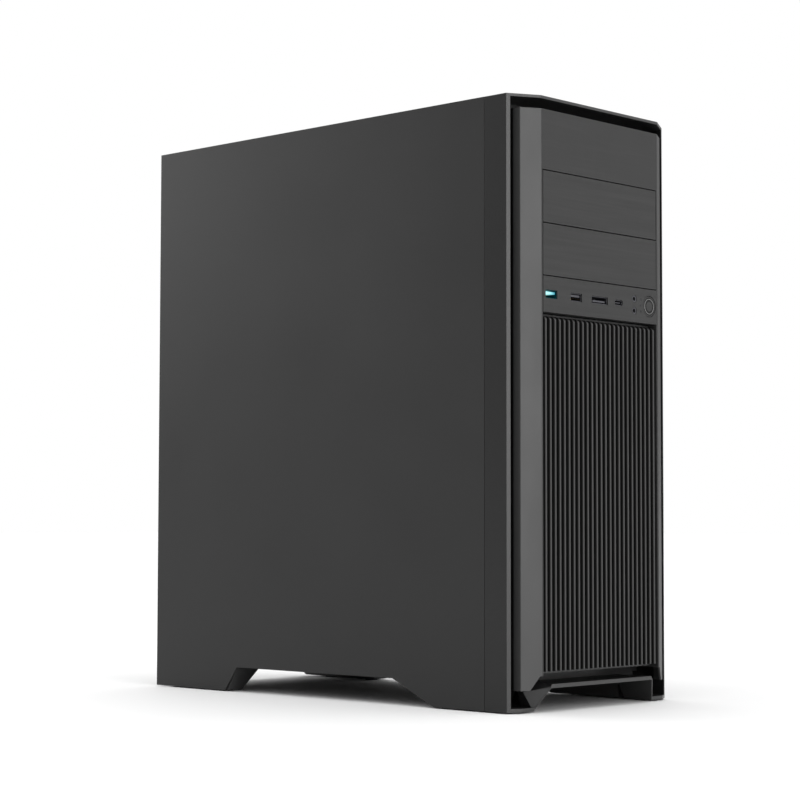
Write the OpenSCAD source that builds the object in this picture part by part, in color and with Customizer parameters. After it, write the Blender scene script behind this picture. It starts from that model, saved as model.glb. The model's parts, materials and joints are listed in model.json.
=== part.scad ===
// Desktop computer tower: a steel chassis with two slide-off side panels, a moulded front
// bezel, and the parts that it holds inside. Millimetres, +Z up, front towards -Y.
// The origin is on the floor, under the middle of the whole tower.

/* [Case] */
// Width over the two side panels
case_w = 207.4; // [200:0.2:212]
// Height from the floor to the top
case_h = 492.5; // [485:0.5:500]
// Depth from the bezel's front to the rear flanges
body_d = 438; // [432:1:446]
// Height of the side panels' cut-outs above the floor
leg_h = 22; // [20:1:24]
// Thickness of the steel sheet
sheet_t = 1; // [0.8:0.1:1.2]

/* [Front bezel] */
// Depth of the bezel's side flange behind its rim
flange_d = 23; // [18:1:28]
// Width of the bezel's angled corner
corner_x = 26; // [22:1:30]
// Depth of the bezel's angled corner
corner_y = 14.5; // [12:0.5:16]
// Thickness of the bezel's outer rim
rim_t = 3.2; // [2.8:0.2:4.4]
// Width of the opening for bay covers, ports and grille
opening_w = 151; // [150:0.5:152]

/* [Front openings] */
// Height of one drive bay cover with its gap
bay_pitch = 42.5; // [42:0.1:43]
// Height of the port strip
port_strip_h = 29.8; // [28:0.2:32]
// Height of the top of the upper bay cover
bays_top = 433.2; // [430:0.1:435]
// Number of vertical slats in the grille
slat_count = 25; // [21:2:29]
// Width of one slat
slat_w = 2.8; // [2.2:0.1:3.2]

/* [Movement] */
// Travel of a side panel before it lifts off
panel_travel = 20; // [10:1:24]
// Travel of the power button
button_travel = 1.8; // [1:0.1:2.2]

/* [Hidden] */

$fn = 48;
eps = 0.01;

// Main planes
screw_head_h = 4;
y_front = -(body_d + screw_head_h) / 2;
y_rear = y_front + body_d;
y_rim = y_front + corner_y;
y_seam = y_rim + flange_d;
half_w = case_w / 2;
y_chassis_front = y_seam + 0.2;
y_rear_panel = y_rear - 2.5;
pan_z = leg_h + 1;
pan_top = pan_z + sheet_t;
rail_x = half_w - 2.6;
roof_z = case_h - 2.4;

// Helpers -----------------------------------------------------------------

// A box between two opposite corners
module box(a, b) {
    translate(a) cube(b - a);
}

// The children and their mirror image across the middle plane
module both_sides() {
    children();
    mirror([1, 0, 0]) children();
}

// A shape drawn in X and Z, running along +Y from y to y + depth
module along_y(y, depth) {
    translate([0, y + depth, 0]) rotate([90, 0, 0]) linear_extrude(depth) children();
}

// A shape drawn in Y and Z, running along +X from x to x + width
module along_x(x, width) {
    translate([x, 0, 0]) rotate([90, 0, 90]) linear_extrude(width) children();
}

// A cylinder along +Y that starts at p
module rod_y(p, d, length, fn = 32) {
    translate(p) rotate([-90, 0, 0]) cylinder(d = d, h = length, $fn = fn);
}

// A cylinder along +X that starts at p
module rod_x(p, d, length, fn = 32) {
    translate(p) rotate([0, 90, 0]) cylinder(d = d, h = length, $fn = fn);
}

// A rectangle with round corners, centred
module round_rect(w, h, r) {
    square([w - 2 * r, h], center = true);
    square([w, h - 2 * r], center = true);
    for (x = [-1, 1], y = [-1, 1])
        translate([x * (w / 2 - r), y * (h / 2 - r)]) circle(r, $fn = 24);
}

// A stamped vent of ring slots between spokes, as a flat shape
module ring_vent(r_outer, rings) {
    pitch = r_outer / (rings + 0.6);
    difference() {
        for (i = [1 : rings])
            difference() {
                circle((i + 0.6) * pitch, $fn = 64);
                circle((i + 0.6) * pitch - pitch * 0.68, $fn = 64);
            }
        for (a = [0 : 45 : 135]) rotate(a + 22.5) square([3 * r_outer, 3.4], center = true);
    }
}

// The bezel's outline in plan, moved inwards by the inset
module bezel_plan(inset = 0, back = 0) {
    x_side = half_w - inset;
    x_corner = half_w - corner_x - inset * 0.3;
    polygon([
        [-x_side, back], [-x_side, y_rim + inset * 0.3], [-x_corner, y_front + inset],
        [x_corner, y_front + inset], [x_side, y_rim + inset * 0.3], [x_side, back],
    ]);
}

// Steel chassis -------------------------------------------------------------

filter_x = 66;
psu_half_w = 75;
psu_z = pan_top + 2;
psu_h = 86;
psu_d = 140;
psu_front_y = y_rear_panel - psu_d;
psu_fan_y = psu_front_y + 68;
fan_size = 120;
fan_t = 25;
fan_hole = 52.5;
intake_z = [98, 228];
foot_y = [y_seam + 5.5, y_rear - 108];

module chassis_base_pan() {
    color("dimgray") {
        difference() {
            union() {
                box([-rail_x, y_chassis_front + sheet_t, pan_z], [rail_x, y_rear_panel, pan_top]);
                both_sides() box([rail_x - sheet_t, y_chassis_front + sheet_t, pan_top],
                                 [rail_x, y_rear_panel, pan_top + 10]);
            }
            base_vent_slots();
            for (p = foot_screw_points()) translate([p[0], p[1], pan_z - 1]) cylinder(d = 4, h = 3);
        }
        both_sides() filter_rail();
    }
}

module base_vent_slots() {
    for (x = [-48 : 8 : 48], row = [-1 : 1])
        translate([x, psu_fan_y + row * 33, pan_z - 1])
            linear_extrude(3) round_rect(4, 29, 1.9);
}

// An angle under the pan that carries one edge of the dust filter
module filter_rail() {
    y_start = psu_fan_y - 62;
    y_end = y_rear_panel;
    box([filter_x + 0.6, y_start, pan_z - 3.6], [filter_x + 1.8, y_end, pan_z]);
    box([filter_x - 3, y_start, pan_z - 4.6], [filter_x + 1.8, y_end, pan_z - 3.6]);
}

module chassis_front_panel() {
    y0 = y_chassis_front;
    color("dimgray")
        difference() {
            union() {
                box([-rail_x, y0, pan_z], [rail_x, y0 + sheet_t, roof_z]);
                both_sides() box([rail_x - sheet_t, y0 + sheet_t, pan_top + 10.2],
                                 [rail_x, y0 + 16, roof_z - 14]);
            }
            box([-74, y0 - 1, cage_z + 2], [74, y0 + 3, bays_top + 4]);
            box([-60, y0 - 1, cage_z - 24], [60, y0 + 3, cage_z - 6]);
            for (z = intake_z) {
                translate([0, 0, z]) along_y(y0 - 1, 4) ring_vent(56, 6);
                for (x = [-1, 1], h = [-1, 1])
                    rod_y([x * fan_hole, y0 - 1, z + h * fan_hole], 4.6, 4);
            }
        }
}

io_x = [34, 78.5];
io_z = [297, 456];
rear_fan_x = -33;
rear_fan_z = 400;
slot_pitch = 20.32;
slot_z0 = 162.4;
slot_count = 7;
thumb_z = [110, 420];
thumb_x = half_w - 9;
thumb_d = 10;

module chassis_rear_panel() {
    y0 = y_rear_panel;
    slots_top = slot_z0 + (slot_count - 1) * slot_pitch;
    color("dimgray")
        difference() {
            union() {
                box([-rail_x, y0, pan_z], [rail_x, y0 + sheet_t, roof_z]);
                for (z = [slot_z0 - 14, slots_top + 13]) box([-58, y0 - 12, z], [-46.2, y0, z + 1]);
                box([-58, y0 - 12, slot_z0 - 14], [-57, y0, slots_top + 14]);
            }
            box([-psu_half_w + 4, y0 - 1, psu_z + 3], [psu_half_w - 4, y0 + 3, psu_z + psu_h - 3]);
            box([io_x[0], y0 - 1, io_z[0]], [io_x[1], y0 + 3, io_z[1]]);
            for (i = [0 : slot_count - 1])
                translate([0, 0, slot_z0 + i * slot_pitch]) box([-37, y0 - 1, -6.5], [67, y0 + 3, 6.5]);
            translate([rear_fan_x, 0, rear_fan_z]) along_y(y0 - 1, 3) ring_vent(57, 6);
            for (x = [-1, 1], z = [-1, 1])
                rod_y([rear_fan_x + x * fan_hole, y0 - 1, rear_fan_z + z * fan_hole], 4.6, 4);
            for (x = [-1, 1], z = thumb_z) rod_y([x * thumb_x, y0 - 1, z], 3.4, 4);
            for (p = psu_screw_points()) rod_y([p[0], y0 - 1, p[1]], 4, 4);
            for (i = [0 : 10], j = [0 : 3])
                rod_y([-88 + j * 7, y0 - 1, slot_z0 + 4 + i * 11], 4.4, 4, 24);
        }
}

module chassis_top_panel() {
    edge_x = half_w - 12.6;
    y0 = y_chassis_front;
    y1 = y_rear_panel + sheet_t;
    color("dimgray") {
        box([-edge_x, y0, case_h - sheet_t], [edge_x, y1, case_h]);
        both_sides() {
            box([edge_x - sheet_t, y0, roof_z], [edge_x, y1, case_h - sheet_t]);
            box([edge_x - sheet_t, y0, roof_z], [rail_x, y1, roof_z + sheet_t]);
            box([rail_x - sheet_t, y0 + 17, roof_z - 12], [rail_x, y_rear_panel - 0.2, roof_z]);
        }
    }
}

tray_x = 84;
board_x = 76.4;
board_t = 1.6;
board_z = 163;
board_w = 244;
board_h = 305;
board_y1 = y_rear_panel - 1.6;
board_y0 = board_y1 - board_w;
board_hole_y = [12, 136, 236];
board_hole_z = [10, 156, 295];
cpu_y = board_y1 - 116;
cpu_z = board_z + 226;

module motherboard_tray() {
    color("gray")
        difference() {
            union() {
                box([tray_x, -56, pan_top], [tray_x + sheet_t, y_rear_panel, roof_z - 12.4]);
                box([tray_x, -56, pan_top], [rail_x - sheet_t - 0.2, y_rear_panel, pan_top + sheet_t]);
                box([tray_x, -56, roof_z - 13.4], [rail_x - sheet_t - 0.2, y_rear_panel, roof_z - 12.4]);
            }
            box([tray_x - 1, cpu_y - 48, cpu_z - 48], [tray_x + 3, cpu_y + 48, cpu_z + 48]);
            translate([foot_bolt[0], foot_y[1] + foot_bolt[1], pan_top - 1]) cylinder(d = 9, h = 3);
            for (z = [200, 350])
                translate([0, -44, z]) along_x(tray_x - 1, 4) round_rect(12, 96, 5);
            translate([0, 60, 137]) along_x(tray_x - 1, 4) round_rect(120, 26, 8);
            for (y = board_hole_y, z = board_hole_z)
                rod_x([tray_x - 1, board_y1 - y, board_z + z], 3.2, 4);
        }
}

// Four tapered moulded feet under the corners of the base pan
pad_h = 2.2;
foot_sole_z = 1.2;
foot_len = 92;
foot_bolt = [92, 50];
pad_x = 93.5;
pad_d = 12;
front_pads = [12, 42];
rear_pads = [24, 78];

function foot_screw_points() = [for (x = [-1, 1], y = foot_y) [x * foot_bolt[0], y + foot_bolt[1]]];

// A foot from y0 back: its leans are how far its ends slope in towards the sole, and
// its inner face runs from x_top at the pan to x_sole
module foot(y0, front_lean, rear_lean, x_top, x_sole, pads) {
    x_out = rail_x + 0.8;
    difference() {
        intersection() {
            along_x(x_top - 1, 40)
                polygon([[y0 + front_lean, foot_sole_z], [y0, pan_z],
                         [y0 + foot_len + 30, pan_z], [y0 + foot_len + 30, foot_sole_z]]);
            along_y(y0 - 5, foot_len + 30)
                polygon([[x_sole, foot_sole_z], [x_top, pan_z], [x_out, pan_z], [x_out, foot_sole_z]]);
        }
        foot_end_cut(x_out, y0 + foot_len, rear_lean);
        for (y = pads) translate([pad_x, y0 + y, 0]) cylinder(d = pad_d, h = pad_h, $fn = 32);
        translate([foot_bolt[0], y0 + foot_bolt[1], pan_z - 12]) cylinder(d = 3.1, h = 13, $fn = 24);
    }
}

// What is cut away behind a foot: its rear end runs back at 45 degrees towards its inner face
module foot_end_cut(x_out, y_end, lean) {
    across = (x_out + y_end) / sqrt(2);
    slope = lean / sqrt(2) / (pan_z - foot_sole_z);
    rotate([0, 0, 45]) along_y(-300, 600)
        polygon([[across + slope, pan_z + 1], [across - slope * (pan_z - foot_sole_z + 1), foot_sole_z - 1],
                 [across + 200, foot_sole_z - 1], [across + 200, pan_z + 1]]);
}

module chassis_feet() {
    color("black") both_sides() {
        foot(foot_y[0], 1, 40, 74, 78, front_pads);
        foot(foot_y[1], 12, 3, 72, 85, rear_pads);
    }
}

module foot_pads() {
    color("darkslategray") both_sides()
        for (y = concat([for (p = front_pads) foot_y[0] + p], [for (p = rear_pads) foot_y[1] + p]))
            translate([pad_x, y, 0]) cylinder(d = pad_d, h = pad_h, $fn = 32);
}

// Side panels -----------------------------------------------------------------

cut_front_y = [y_seam + 53, y_seam + 101];
cut_rear_y = [y_rear - 109, y_rear - 93];

module side_panel() {
    x0 = half_w - sheet_t;
    y0 = y_seam + 0.3;
    difference() {
        box([x0, y0, 1], [half_w, y_rear, case_h]);
        along_x(x0 - 1, 3)
            polygon([[cut_front_y[0], 0], [cut_front_y[1], leg_h],
                     [cut_rear_y[0], leg_h], [cut_rear_y[1], 0]]);
    }
    box([half_w - 12, y0, case_h - sheet_t], [x0, y_rear, case_h]);
    box([half_w - 9, cut_front_y[1] + 4, leg_h - 0.2], [x0, cut_rear_y[0] - panel_travel - 4, leg_h + 0.6]);
    difference() {
        box([half_w - 14, y_rear - sheet_t, 30], [x0, y_rear, case_h - 6]);
        for (z = thumb_z) rod_y([thumb_x, y_rear - 3, z], 4.4, 6);
    }
}

module left_side_panel() {
    color([0.27, 0.27, 0.27]) mirror([1, 0, 0]) side_panel();
}

module right_side_panel() {
    color([0.27, 0.27, 0.27]) side_panel();
}

module thumb_screws(side) {
    for (z = thumb_z) translate([side * thumb_x, y_rear, z]) rotate([-90, 0, 0]) {
        difference() {
            cylinder(d = thumb_d, h = screw_head_h);
            for (a = [0 : 20 : 340]) rotate(a)
                translate([thumb_d / 2 + 0.2, 0, -1]) cylinder(d = 1, h = 6, $fn = 16);
            translate([-3.4, -0.6, screw_head_h - 1.2]) cube([6.8, 1.2, 2]);
        }
        translate([0, 0, -4.6]) cylinder(d = 3, h = 4.7, $fn = 24);
    }
}

module thumb_screws_left() {
    color("black") thumb_screws(-1);
}

module thumb_screws_right() {
    color("black") thumb_screws(1);
}

// Front bezel -------------------------------------------------------------------

// The foot's diagonal in front view, and the raised bar that joins the two feet
foot_tip_x = half_w - 26.2;
bar_end_x = half_w - 37.7;
bar_z = leg_h - 2.8;
chin_back = 9;
hood_t = 2.4;
hoop_ring_t = 3.3;

module bezel_front_outline() {
    polygon([
        [-half_w, 1], [-foot_tip_x, 1], [-bar_end_x, bar_z], [bar_end_x, bar_z], [foot_tip_x, 1],
        [half_w, 1], [half_w, case_h], [-half_w, case_h],
    ]);
}

module bezel_inner_outline() {
    x = half_w - rim_t;
    polygon([
        [-x, 1 + rim_t], [0.6 - foot_tip_x, 1 + rim_t], [0.6 - bar_end_x, bar_z + rim_t],
        [bar_end_x - 0.6, bar_z + rim_t], [foot_tip_x - 0.6, 1 + rim_t], [x, 1 + rim_t],
        [x, case_h - hood_t], [-x, case_h - hood_t],
    ]);
}

// The sloping web of one foot, from the hoop's front edge back to the panel behind
module foot_web() {
    hull() {
        along_y(y_front + 0.2, 0.4)
            polygon([[bar_end_x + 0.4, bar_z], [bar_end_x + 1.4, bar_z], [bar_end_x + 0.4, bar_z + 1.2]]);
        along_y(y_front + chin_back, 0.4)
            polygon([[foot_tip_x, 1.6], [foot_tip_x + 0.8, 1.6], [foot_tip_x + 0.4, 3.2]]);
        along_y(y_rim, 6)
            polygon([[foot_tip_x + 0.8, 1.6], [bar_end_x + 0.4, bar_z],
                     [bar_end_x + 0.4, bar_z + 6.2], [foot_tip_x + 6.5, 16.6]]);
    }
}

// The bezel's outer solid: its front leans back below the bar
module bezel_blank() {
    intersection() {
        linear_extrude(case_h) bezel_plan(0, y_seam);
        along_y(y_front - 1, body_d) bezel_front_outline();
        along_x(-case_w, 2 * case_w)
            polygon([[y_front, bar_z], [y_front + chin_back, 1], [y_seam + 1, 1],
                     [y_seam + 1, case_h + 1], [y_front, case_h + 1]]);
    }
}

module bezel_frame() {
    color([0.22, 0.22, 0.22]) {
        difference() {
            bezel_blank();
            along_y(y_front - 1, y_seam - y_front - hoop_ring_t + 1) bezel_inner_outline();
            box([-89, y_front, pan_top + 6], [89, y_seam + 1, case_h - 14]);
        }
        both_sides() intersection() {
            foot_web();
            linear_extrude(case_h) bezel_plan(0, y_seam);
        }
    }
}

// The raised panel inside the bezel: a flat middle between two angled strips
strip_x = [opening_w / 2 + 1.5, opening_w / 2 + 17.5];
strip_depth = 9;
surround_top = case_h - 10.5;
surround_z = 17.6;
strip_foot_z = 29;
surround_back_y = y_seam - hoop_ring_t;
skin_t = 2.4;
opening_z = leg_h + 4;

module surround_plan(inset) {
    xi = strip_x[0] - inset * 0.25;
    xo = strip_x[1] - inset;
    yo = y_front + strip_depth;
    polygon([
        [-xo, surround_back_y + 1], [-xo, yo + inset * 0.3], [-xi, y_front + inset],
        [xi, y_front + inset], [xo, yo + inset * 0.3], [xo, surround_back_y + 1],
    ]);
}

module surround_front_outline() {
    polygon([
        [-strip_x[1], surround_z], [-strip_x[1] + 7, surround_z], [-strip_x[0] - 1.5, strip_foot_z],
        [strip_x[0] + 1.5, strip_foot_z], [strip_x[1] - 7, surround_z], [strip_x[1], surround_z],
        [strip_x[1], surround_top], [-strip_x[1], surround_top],
    ]);
}

module bezel_surround() {
    half_open = opening_w / 2;
    color([0.32, 0.32, 0.32]) {
        difference() {
            intersection() {
                linear_extrude(case_h) surround_plan(0);
                along_y(y_front - 1, surround_back_y - y_front + 1) surround_front_outline();
            }
            difference() {
                linear_extrude(surround_top - skin_t) surround_plan(skin_t);
                both_sides() box([half_open, y_front - 1, 0], [half_open + 1.5, y_front + 18, case_h]);
                box([-half_open, y_front - 1, bays_top], [half_open, y_front + 18, bays_top + 1.5]);
                box([-half_open, y_front + 16, opening_z + 4], [half_open, y_front + 18, opening_z + 12]);
            }
            box([-half_open, y_front - 1, 0], [half_open, y_front + 16, bays_top]);
        }
    }
}

// Grille ---------------------------------------------------------------------

cage_z = bays_top - 2 * bay_pitch - 3;
strip_z0 = bays_top - 2 * bay_pitch - port_strip_h;
grille_top = strip_z0 - 0.8;
slat_z0 = leg_h + 10.4;
slat_depth = 9;
slat_margin = 1.3;
slat_pitch = (opening_w - 2 * slat_margin) / slat_count;

module slat_side_profile() {
    r = 5;
    yf = y_front + 0.2;
    yb = yf + slat_depth;
    square_top = grille_top - 2;
    difference() {
        polygon([[yf, slat_z0], [yb, slat_z0], [yb, square_top], [yf, square_top]]);
        difference() {
            translate([yf - 1, square_top - r]) square([r + 1, r + 1]);
            translate([yf + r, square_top - r]) circle(r, $fn = 48);
        }
    }
}

module slat() {
    yf = y_front + 0.2;
    intersection() {
        translate([0, 0, slat_z0]) linear_extrude(grille_top - slat_z0) {
            translate([0, yf + slat_w / 2]) circle(d = slat_w, $fn = 24);
            translate([-slat_w / 2, yf + slat_w / 2]) square([slat_w, slat_depth - slat_w / 2]);
        }
        along_x(-slat_w, 2 * slat_w) slat_side_profile();
    }
}

module front_grille() {
    y_rail = y_front + 0.2 + slat_depth;
    half = opening_w / 2 - 0.4;
    rail_h = 7;
    color([0.28, 0.28, 0.28]) {
        for (i = [0 : slat_count - 1]) translate([(i - (slat_count - 1) / 2) * slat_pitch, 0, 0]) slat();
        for (z = [slat_z0 - 2, slat_z0 + 92, slat_z0 + 186, grille_top - rail_h])
            box([-half, y_rail - eps, z], [half, y_rail + 2.5, z + rail_h]);
        both_sides() box([half - 3, y_rail - eps, slat_z0 - 2], [half, y_rail + 2.5, grille_top]);
    }
}

module front_dust_filter() {
    y0 = y_front + 0.2 + slat_depth + 2.8;
    half = opening_w / 2 - 2;
    z0 = slat_z0 + 8;
    z1 = grille_top - 4;
    color("black") {
        difference() {
            box([-half, y0, z0], [half, y0 + 2.6, z1]);
            for (i = [0 : 2], j = [0 : 1]) {
                w = (2 * half - 12) / 2;
                h = (z1 - z0 - 16) / 3;
                box([-half + 4 + j * (w + 4), y0 - 1, z0 + 4 + i * (h + 4)],
                    [-half + 4 + j * (w + 4) + w, y0 + 4, z0 + 4 + i * (h + 4) + h]);
            }
        }
        box([-half + 1, y0 + 1.1, z0 + 1], [half - 1, y0 + 1.5, z1 - 1]);
    }
}

// Bay covers and port strip --------------------------------------------------------

cover_gap = 0.8;

module bay_cover(z0) {
    half = opening_w / 2 - 0.6;
    h = bay_pitch - cover_gap;
    skin = 2.2;
    difference() {
        box([-half, y_front, z0], [half, y_front + 14, z0 + h]);
        box([-half + skin, y_front + skin, z0 + skin], [half - skin, y_front + 15, z0 + h - skin]);
    }
    both_sides()
        box([half - skin - 6, y_front + skin - eps, z0 + 12], [half - skin - 4.4, y_front + 24, z0 + 30]);
}

module bay_cover_upper() {
    color([0.3, 0.3, 0.3]) bay_cover(bays_top - bay_pitch);
}

module bay_cover_lower() {
    color([0.3, 0.3, 0.3]) bay_cover(bays_top - 2 * bay_pitch);
}

port_z = strip_z0 + 14.6;
lit_usb_x = -64.8;
plain_usb_x = -33;
reader_x = -2.2;
usb_c_x = 23.2;
jack_x = 44.4;
light_x = 53.4;
button_x = 65.3;
jack_z = [port_z - 5, port_z + 5];
light_z = [for (i = [-1 : 1]) port_z + i * 5];
usb_w = 14.4;
usb_h = 6.6;
reader_w = 21;
reader_h = 6;
usb_c_w = 10.4;
usb_c_h = 4.4;
button_d = 17.2;

module port_outlines(grow) {
    translate([lit_usb_x, port_z]) square([usb_w + grow, usb_h + grow], center = true);
    translate([plain_usb_x, port_z]) square([usb_w + grow, usb_h + grow], center = true);
    translate([reader_x, port_z]) square([reader_w + grow, reader_h + grow], center = true);
    translate([usb_c_x, port_z]) round_rect(usb_c_w + grow, usb_c_h + grow, 2);
}

module io_panel() {
    half = opening_w / 2 - 0.3;
    z1 = strip_z0 + port_strip_h - cover_gap;
    skin = 2.2;
    color([0.3, 0.3, 0.3])
        difference() {
            union() {
                box([-half, y_front, strip_z0], [half, y_front + skin, z1]);
                difference() {
                    box([-half, y_front + skin - eps, strip_z0], [half, y_front + 14, z1]);
                    box([-half + skin, y_front, strip_z0 + skin], [half - skin, y_front + 15, z1 - skin]);
                }
                rod_y([button_x, y_front + skin - eps, port_z], button_d + 2.6, 4, 64);
            }
            along_y(y_front - 1, 5) port_outlines(0.3);
            for (z = jack_z) rod_y([jack_x, y_front - 1, z], 6.8, 5);
            for (z = light_z) rod_y([light_x, y_front - 1, z], 1.9, 5, 24);
            rod_y([button_x, y_front - 1, port_z], button_d + 0.8, 9, 64);
        }
}

port_depth = 14;
port_set = 0.9;
button_body = 6;
switch_stand = 2.4;

// A sheet-metal port shell with an open mouth towards the front
module port_shell(x, w, h) {
    wall = 0.5;
    translate([x, 0, port_z]) difference() {
        along_y(y_front + port_set, port_depth + 0.3 - port_set) square([w, h], center = true);
        along_y(y_front, port_depth - 1) square([w - 2 * wall, h - 2 * wall], center = true);
    }
}

module usb_port_lit() {
    color("silver") port_shell(lit_usb_x, usb_w, usb_h);
}

module usb_light_bar() {
    color("turquoise")
        box([lit_usb_x - 5.6, y_front + 1.2, port_z + 0.1],
            [lit_usb_x + 5.6, y_front + port_depth - 1, port_z + 2]);
}

module usb_port_plain() {
    color("silver") port_shell(plain_usb_x, usb_w, usb_h);
    color("black")
        box([plain_usb_x - 5.6, y_front + 1.4, port_z + 0.2],
            [plain_usb_x + 5.6, y_front + port_depth - 0.5, port_z + 2]);
}

module card_reader() {
    color("silver") port_shell(reader_x, reader_w, reader_h);
    color("white")
        box([reader_x - 8, y_front + 1.4, port_z - 1.6],
            [reader_x + 8, y_front + port_depth - 0.5, port_z - 0.2]);
}

module usb_c_port() {
    color("silver")
        translate([usb_c_x, 0, port_z]) difference() {
            along_y(y_front + port_set, port_depth + 0.3 - port_set) round_rect(usb_c_w, usb_c_h, 2);
            along_y(y_front, port_depth - 1) round_rect(usb_c_w - 1, usb_c_h - 1, 1.6);
        }
    color("black")
        box([usb_c_x - 3.2, y_front + 1.4, port_z - 0.35],
            [usb_c_x + 3.2, y_front + port_depth - 0.5, port_z + 0.35]);
}

module audio_jacks() {
    color("black")
        for (z = jack_z) difference() {
            union() {
                rod_y([jack_x, y_front + 0.3, z], 6.4, 4);
                box([jack_x - 4.2, y_front + 4, z - 4.2],
                    [jack_x + 4.2, y_front + port_depth + 0.3, z + 4.2]);
            }
            rod_y([jack_x, y_front - 1, z], 3.6, 13);
        }
}

module status_light_pipes() {
    color("white")
        for (z = light_z) rod_y([light_x, y_front + 0.2, z], 1.6, port_depth + 0.1, 24);
}

module power_button() {
    plunger = port_depth + 0.4 - switch_stand - button_body - button_travel - 0.6;
    color([0.25, 0.25, 0.25]) difference() {
        union() {
            rod_y([button_x, y_front + 0.1, port_z], button_d, button_body, 64);
            rod_y([button_x, y_front + button_body, port_z], 5, plunger);
        }
        translate([button_x, y_front + 0.1, port_z]) rotate([-90, 0, 0]) rotate_extrude($fn = 64)
            translate([6.2, 0]) square([0.7, 1.2], center = true);
    }
}

module front_io_board() {
    y0 = y_front + port_depth + 0.4;
    color("darkgreen") box([-72.5, y0, strip_z0 + 3], [72.5, y0 + 1.6, strip_z0 + 26]);
    color("black") {
        box([button_x - 3, y0 - switch_stand, port_z - 3], [button_x + 3, y0, port_z + 3]);
        box([10, y0 + 1.6, strip_z0 + 8], [34, y0 + 8, strip_z0 + 16]);
    }
}

// Drive cages ------------------------------------------------------------------------

module optical_bay_cage() {
    y0 = y_chassis_front + sheet_t;
    y1 = -36;
    z1 = roof_z - 0.1;
    wall_x = 76;
    color("gray") difference() {
        union() {
            both_sides() box([wall_x - sheet_t, y0, cage_z], [wall_x, y1, z1]);
            box([-wall_x, y0, cage_z], [wall_x, y1, cage_z + sheet_t]);
            both_sides() box([wall_x - sheet_t, y0, z1 - sheet_t], [wall_x + 9, y1, z1]);
        }
        box([-60, y0 + 20, cage_z - 1], [60, y1 - 20, cage_z + 2]);
        for (bay = [0, 1], y = [y0 + 30, y0 + 62, y0 + 110])
            translate([0, y, cage_z + 14 + bay * bay_pitch]) along_x(-100, 200) round_rect(14, 3.6, 1.7);
    }
}

cage_y = [-148, 2];
cage_half_w = 57;
cage_top = 112;
tray_pitch = 42;
tray_z = [pan_top + 4, pan_top + 4 + tray_pitch];

module drive_cage() {
    color("gray") {
        difference() {
            union() {
                box([-cage_half_w, cage_y[0], cage_top - sheet_t], [cage_half_w, cage_y[1], cage_top]);
                both_sides() {
                    box([cage_half_w - sheet_t, cage_y[0], pan_top], [cage_half_w, cage_y[1], cage_top]);
                    box([cage_half_w, cage_y[0], pan_top],
                        [cage_half_w + 10, cage_y[1], pan_top + sheet_t]);
                }
            }
            for (z = [pan_top + 28, pan_top + 70], y = [-120, -74, -28])
                translate([0, y, z]) along_x(-100, 200) round_rect(30, 16, 4);
        }
        for (z = tray_z) both_sides()
            box([cage_half_w - sheet_t - 2.6, cage_y[0] + 4, z - 1.6],
                [cage_half_w - sheet_t, cage_y[1] - 4, z - 0.3]);
    }
}

module drive_tray(z) {
    half = cage_half_w - sheet_t - 0.6;
    y0 = cage_y[0] + 2;
    y1 = cage_y[1] + 2;
    color([0.2, 0.2, 0.22]) {
        difference() {
            box([-half, y0, z], [half, y1, z + 2]);
            for (x = [-26, 26], y = [y0 + 42, y0 + 104])
                box([x - 18, y - 22, z - 1], [x + 18, y + 22, z + 3]);
        }
        both_sides() box([half - 1.8, y0, z + 2 - eps], [half, y1, z + 14]);
        difference() {
            box([-half, y1 - 2, z + 2 - eps], [half, y1, z + 33]);
            translate([0, 0, z + 18]) along_y(y1 - 5, 8) round_rect(60, 12, 5);
        }
    }
}

module drive_tray_upper() {
    drive_tray(tray_z[1]);
}

module drive_tray_lower() {
    drive_tray(tray_z[0]);
}

module solid_state_drive() {
    z = tray_z[1] + 2;
    color("darkslategray") box([-34.9, -110, z], [34.9, -10, z + 7]);
}

module hard_drive() {
    z = tray_z[0] + 2;
    color("silver") difference() {
        union() {
            box([-50.8, -145, z], [50.8, -2, z + 20]);
            box([-49.5, -143.5, z + 20 - eps], [49.5, -3.5, z + 26]);
        }
        translate([0, -92, z + 25.2]) cylinder(d = 88, h = 2, $fn = 64);
    }
}

// Fans ---------------------------------------------------------------------------------

// A square fan housing with its axis along +Z, centred on the axis, from z = 0 up
module fan_housing(size, thick, duct_r, hole_offset, hub_r) {
    strut_h = 2.4;
    linear_extrude(thick) difference() {
        round_rect(size, size, 6);
        circle(duct_r, $fn = 96);
        for (x = [-1, 1], y = [-1, 1])
            translate([x * hole_offset, y * hole_offset]) circle(d = 4.4, $fn = 24);
    }
    for (a = [45 : 90 : 315]) rotate(a)
        translate([hub_r - 5, -3, 0]) cube([duct_r - hub_r + 6.5, 6, strut_h]);
    difference() {
        cylinder(r = hub_r, h = strut_h, $fn = 48);
        translate([0, 0, 1]) cylinder(r = 2.05, h = 2, $fn = 32);
    }
}

// One fan blade: a curved strip from the hub to the tip, twisted along the axis
module fan_blade(r_hub, r_tip, height, twist) {
    inner = [for (i = [0 : 4]) let (r = r_hub + (r_tip - r_hub) * i / 4, a = 10 * i / 4)
             [r * cos(a), r * sin(a)]];
    outer = [for (i = [4 : -1 : 0]) let (r = r_hub + (r_tip - r_hub) * i / 4, a = 10 * i / 4)
             [r * cos(a) - 1.2 * sin(a), r * sin(a) + 1.2 * cos(a) + 0.4]];
    linear_extrude(height, twist = twist, slices = 5, segments = 0) polygon(concat(inner, outer));
}

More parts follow.
